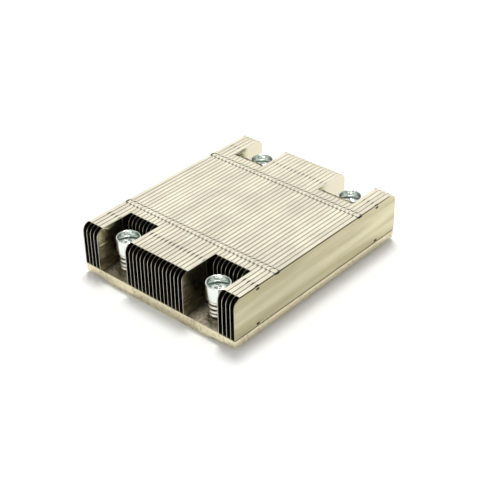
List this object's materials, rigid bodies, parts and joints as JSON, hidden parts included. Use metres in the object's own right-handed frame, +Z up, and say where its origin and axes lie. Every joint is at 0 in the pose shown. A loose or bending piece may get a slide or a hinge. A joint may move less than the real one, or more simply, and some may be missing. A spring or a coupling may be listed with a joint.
{
  "type": "passive processor heat sink",
  "caption": "Low passive heat sink for a rack server: plated base plate, stack of interlocked sheet fins notched at the corners for captive spring screws in cups.",
  "frame": {"origin": "centre of the contact band's underside, which is also the bottom centre of the whole part", "axes": "+X across the fins, towards the plain outer plate; +Y along the fins and the air; +Z up, from the contact band to the fins' tops"},
  "size_m": [0.094, 0.1158, 0.0265],
  "materials": {
    "plated_base": "satin",
    "plated_fins": "satin",
    "zinc_steel": "gloss",
    "bright_cup": "gloss",
    "spring_steel": "gloss",
    "ring_steel": "satin"
  },
  "bodies": {
    "heat_sink": {"base_plate": "plated_base", "fin_01": "plated_fins", "fin_02": "plated_fins", "fin_03": "plated_fins", "fin_04": "plated_fins", "fin_05": "plated_fins", "fin_06": "plated_fins", "fin_07": "plated_fins", "fin_08": "plated_fins", "fin_09": "plated_fins", "fin_10": "plated_fins", "fin_11": "plated_fins", "fin_12": "plated_fins", "fin_13": "plated_fins", "fin_14": "plated_fins", "fin_15": "plated_fins", "fin_16": "plated_fins", "fin_17": "plated_fins", "fin_18": "plated_fins", "fin_19": "plated_fins", "fin_20": "plated_fins", "fin_21": "plated_fins", "fin_22": "plated_fins", "fin_23": "plated_fins", "fin_24": "plated_fins", "fin_25": "plated_fins", "fin_26": "plated_fins", "fin_27": "plated_fins", "fin_28": "plated_fins", "fin_29": "plated_fins", "fin_30": "plated_fins", "fin_31": "plated_fins", "fin_32": "plated_fins", "fin_33": "plated_fins", "fin_34": "plated_fins", "fin_35": "plated_fins", "fin_36": "plated_fins", "fin_37": "plated_fins", "fin_38": "plated_fins", "fin_39": "plated_fins", "fin_40": "plated_fins", "fin_41": "plated_fins", "spring_1": "spring_steel", "spring_2": "spring_steel", "spring_3": "spring_steel", "spring_4": "spring_steel"},
    "cup_1": {"spring_cup_1": "bright_cup"},
    "screw_1": {"captive_screw_1": "zinc_steel", "retaining_ring_1": "ring_steel"},
    "cup_2": {"spring_cup_2": "bright_cup"},
    "screw_2": {"captive_screw_2": "zinc_steel", "retaining_ring_2": "ring_steel"},
    "cup_3": {"spring_cup_3": "bright_cup"},
    "screw_3": {"captive_screw_3": "zinc_steel", "retaining_ring_3": "ring_steel"},
    "cup_4": {"spring_cup_4": "bright_cup"},
    "screw_4": {"captive_screw_4": "zinc_steel", "retaining_ring_4": "ring_steel"}
  },
  "joints": [
    {"name": "screw_1_plunge", "type": "slide", "parent": "heat_sink", "child": "cup_1", "axis": [0, 0, 1], "range_m": [-0.003, 0], "stiffness_N_per_m": 15000, "springref_m": 0.0005, "deforming": ["spring_1"]},
    {"name": "screw_1_turn", "type": "hinge", "parent": "cup_1", "child": "screw_1", "pos_m": [-0.028, -0.047, 0.0169], "axis": [0, 0, 1], "continuous": true},
    {"name": "screw_2_plunge", "type": "slide", "parent": "heat_sink", "child": "cup_2", "axis": [0, 0, 1], "range_m": [-0.003, 0], "stiffness_N_per_m": 15000, "springref_m": 0.0005, "deforming": ["spring_2"]},
    {"name": "screw_2_turn", "type": "hinge", "parent": "cup_2", "child": "screw_2", "pos_m": [0.028, -0.047, 0.0169], "axis": [0, 0, 1], "continuous": true},
    {"name": "screw_3_plunge", "type": "slide", "parent": "heat_sink", "child": "cup_3", "axis": [0, 0, 1], "range_m": [-0.003, 0], "stiffness_N_per_m": 15000, "springref_m": 0.0005, "deforming": ["spring_3"]},
    {"name": "screw_3_turn", "type": "hinge", "parent": "cup_3", "child": "screw_3", "pos_m": [-0.028, 0.047, 0.0169], "axis": [0, 0, 1], "continuous": true},
    {"name": "screw_4_plunge", "type": "slide", "parent": "heat_sink", "child": "cup_4", "axis": [0, 0, 1], "range_m": [-0.003, 0], "stiffness_N_per_m": 15000, "springref_m": 0.0005, "deforming": ["spring_4"]},
    {"name": "screw_4_turn", "type": "hinge", "parent": "cup_4", "child": "screw_4", "pos_m": [0.028, 0.047, 0.0169], "axis": [0, 0, 1], "continuous": true}
  ]
}
